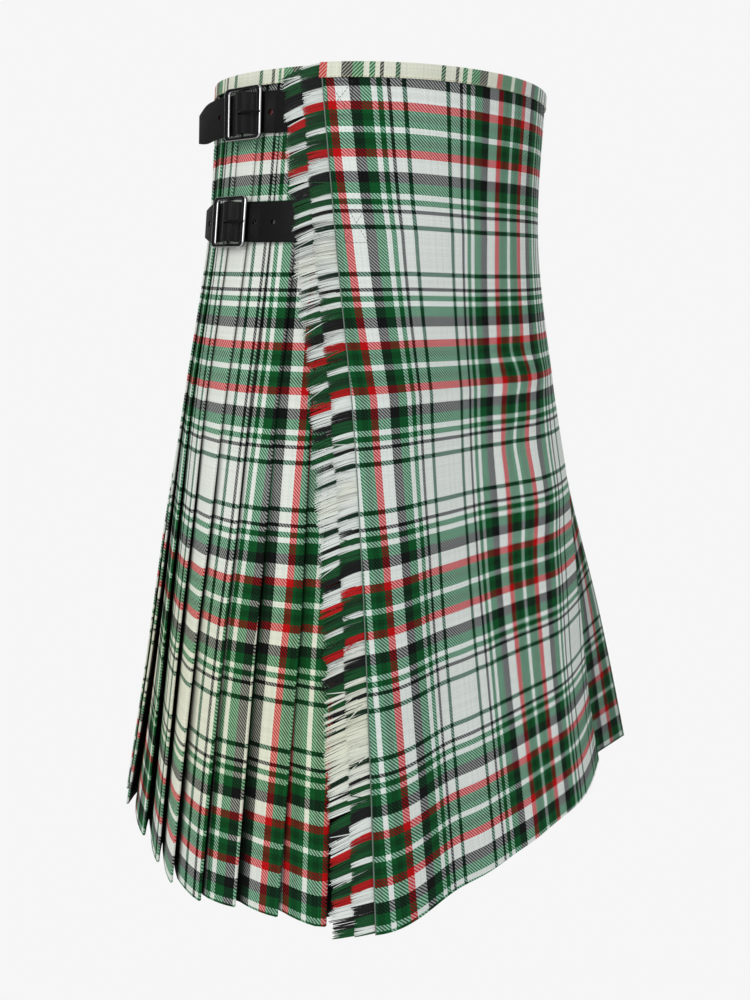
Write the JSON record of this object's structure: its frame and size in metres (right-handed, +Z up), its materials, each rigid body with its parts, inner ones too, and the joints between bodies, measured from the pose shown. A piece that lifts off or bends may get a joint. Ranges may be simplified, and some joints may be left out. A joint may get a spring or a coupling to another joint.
{
  "type": "scottish kilt",
  "caption": "Man's tartan kilt, worn round: plain front apron with a fringed edge, knife pleats round the sides and back, hip straps fastened in buckles.",
  "frame": {"origin": "middle of the ring that the waist's top edge makes", "axes": "+Z up along the hang of the kilt, -Y to the front, the outer apron's side, and -X to the wearer's right, where the straps are"},
  "size_m": [0.4947, 0.374, 0.6106],
  "materials": {
    "tartan_cloth": "2/2 twill wool in a white, green, black and red tartan, matt with a faint sheen",
    "fringe_thread": "unravelled wool weft, matt and hairy",
    "black_leather": "smooth black strap leather, satin, with a burnished edge",
    "dark_metal": "polished dark nickel plate"
  },
  "bodies": {
    "root": {"outer_apron": "tartan_cloth", "under_apron": "tartan_cloth", "pleats": "tartan_cloth", "waistband_front": "tartan_cloth", "waistband_back": "tartan_cloth", "fringe_upper": "fringe_thread", "fringe_under": "fringe_thread", "strap_upper": "black_leather", "strap_lower": "black_leather", "tab_upper": "black_leather", "tab_lower": "black_leather", "buckle_upper": "dark_metal", "buckle_lower": "dark_metal", "tongue_upper": "dark_metal", "tongue_lower": "dark_metal"}
  },
  "joints": []
}
